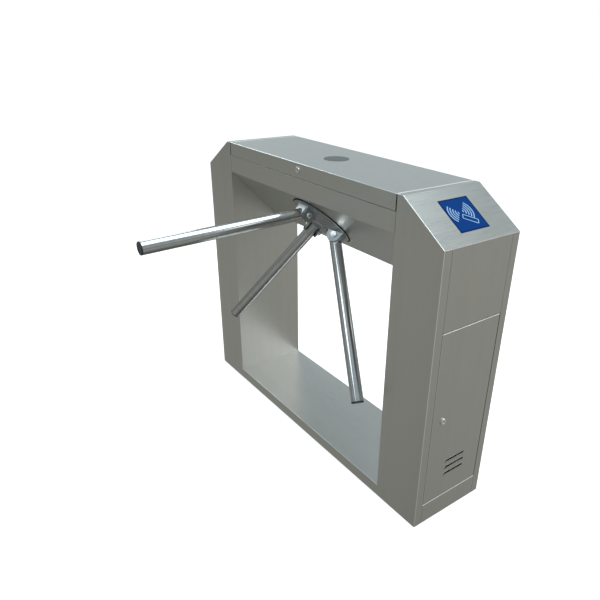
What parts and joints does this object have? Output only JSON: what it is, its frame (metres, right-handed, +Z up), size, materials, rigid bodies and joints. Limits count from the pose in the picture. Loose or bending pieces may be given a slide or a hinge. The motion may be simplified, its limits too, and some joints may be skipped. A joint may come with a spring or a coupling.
{
  "type": "visitor counter turnstile",
  "caption": "Waist-high tripod turnstile: two stainless pillars joined by a floor channel and a hollow crossbar, with a three-armed rotor, hinged lid and service doors.",
  "frame": {"origin": "on the floor, in the middle of the cabinet's footprint, which is the middle of the outer anchor pattern", "axes": "+X along the cabinet towards its right-hand end, -Y towards the walkway and the level arm, +Z up"},
  "size_m": [1.208, 0.7916, 0.9606],
  "materials": {
    "brushed_sheet": "brushed, fine vertical grain",
    "polished_tube": "mirror polished",
    "hub_cast": "satin cast",
    "black_plastic": "moulded",
    "smoked_lens": "polished",
    "blue_window": "polished acrylic",
    "lock_chrome": "polished",
    "machined_steel": "turned and milled",
    "plated_steel": "zinc plated",
    "black_steel": "powder coated",
    "board_green": "solder resist"
  },
  "bodies": {
    "cabinet": {"right_front_panel": "brushed_sheet", "right_back_panel": "brushed_sheet", "right_inner_panel": "brushed_sheet", "right_deck_panel": "brushed_sheet", "right_end_panel": "brushed_sheet", "right_foot": "brushed_sheet", "left_front_panel": "brushed_sheet", "left_back_panel": "brushed_sheet", "left_inner_panel": "brushed_sheet", "left_deck_panel": "brushed_sheet", "left_end_panel": "brushed_sheet", "left_foot": "brushed_sheet", "base_channel": "brushed_sheet", "crossbar_front_panel": "brushed_sheet", "crossbar_back_panel": "brushed_sheet", "lid_hinges": "brushed_sheet", "control_board": "board_green", "door_pivot_pins": "machined_steel", "ball_bearings": "machined_steel", "lock_keepers": "plated_steel", "chassis_frame": "plated_steel", "chassis_nuts": "plated_steel", "rear_bridge": "plated_steel", "power_supply": "plated_steel", "card_windows": "blue_window", "card_readers": "black_plastic", "cable_glands": "black_plastic", "position_sensor": "black_plastic", "counter_module": "black_plastic", "bearing_housing": "hub_cast", "damper_body": "black_steel", "solenoids": "black_steel"},
    "rotor": {"rotor_disc": "machined_steel", "hub_casting": "hub_cast", "arm_tube_1": "polished_tube", "arm_tube_2": "polished_tube", "arm_tube_3": "polished_tube", "arm_roots": "polished_tube", "arm_bolts": "lock_chrome", "arm_end_plugs": "black_plastic", "main_shaft": "machined_steel", "ratchet_disc": "machined_steel", "shaft_gear": "machined_steel", "shaft_locknut": "machined_steel"},
    "damper": {"damper_pinion": "machined_steel"},
    "lid": {"lid": "brushed_sheet", "indicator_lens": "smoked_lens", "indicator_lamp": "board_green", "lid_lock_barrel": "lock_chrome"},
    "lid_lock": {"lid_lock_cam": "lock_chrome"},
    "right_door": {"right_door": "brushed_sheet", "right_lock_barrel": "lock_chrome"},
    "right_door_lock": {"right_lock_cam": "lock_chrome"},
    "right_pawl": {"right_pawl": "plated_steel"},
    "right_plunger": {"right_plunger": "machined_steel"},
    "left_door": {"left_door": "brushed_sheet", "left_lock_barrel": "lock_chrome"},
    "left_door_lock": {"left_lock_cam": "lock_chrome"},
    "left_pawl": {"left_pawl": "plated_steel"},
    "left_plunger": {"left_plunger": "machined_steel"}
  },
  "joints": [
    {"name": "rotor_turn", "type": "hinge", "parent": "cabinet", "child": "rotor", "pos_m": [0, -0.05373, 0.77223], "axis": [0, 0.7071, 0.7071], "continuous": true},
    {"name": "damper_spin", "type": "hinge", "parent": "cabinet", "child": "damper", "pos_m": [0, -0.01979, 0.73829], "axis": [0, 0.7071, 0.7071], "continuous": true},
    {"name": "right_plunger_slide", "type": "slide", "parent": "cabinet", "child": "right_plunger", "axis": [-1, 0, 0], "range_m": [0, 0.01788], "stiffness_N_per_m": 300, "springref_m": -0.01},
    {"name": "right_pawl_swing", "type": "hinge", "parent": "cabinet", "child": "right_pawl", "pos_m": [0.09, -0.00282, 0.8882], "axis": [0, 0.7071, 0.7071], "range_deg": [0, 12.1]},
    {"name": "right_door_hinge", "type": "hinge", "parent": "cabinet", "child": "right_door", "pos_m": [0.5965, 0.106, 0.35], "axis": [0, 0, 1], "range_deg": [0, 110]},
    {"name": "right_door_lock_turn", "type": "hinge", "parent": "right_door", "child": "right_door_lock", "pos_m": [0.6, -0.07, 0.355], "axis": [-1, 0, 0], "range_deg": [0, 90]},
    {"name": "left_plunger_slide", "type": "slide", "parent": "cabinet", "child": "left_plunger", "axis": [1, 0, 0], "range_m": [0, 0.01788], "stiffness_N_per_m": 300, "springref_m": -0.01},
    {"name": "left_pawl_swing", "type": "hinge", "parent": "cabinet", "child": "left_pawl", "pos_m": [-0.09, -0.00282, 0.8882], "axis": [0, -0.7071, -0.7071], "range_deg": [0, 12.1]},
    {"name": "left_door_hinge", "type": "hinge", "parent": "cabinet", "child": "left_door", "pos_m": [-0.5965, 0.106, 0.35], "axis": [0, 0, -1], "range_deg": [0, 110]},
    {"name": "left_door_lock_turn", "type": "hinge", "parent": "left_door", "child": "left_door_lock", "pos_m": [-0.6, -0.07, 0.355], "axis": [-1, 0, 0], "range_deg": [0, 90]},
    {"name": "lid_hinge", "type": "hinge", "parent": "cabinet", "child": "lid", "pos_m": [0, 0.144, 0.93925], "axis": [-1, 0, 0], "range_deg": [0, 95]},
    {"name": "lid_lock_turn", "type": "hinge", "parent": "lid", "child": "lid_lock", "pos_m": [-0.004, -0.14, 0.94], "axis": [0, -1, 0], "range_deg": [0, 90]}
  ],
  "couplings": [
    {"joint": "damper_spin", "follows": "rotor_turn", "ratio": -3},
    {"joint": "right_pawl_swing", "follows": "right_plunger_slide", "rad_per_m": 11.714},
    {"joint": "left_pawl_swing", "follows": "left_plunger_slide", "rad_per_m": 11.714}
  ]
}
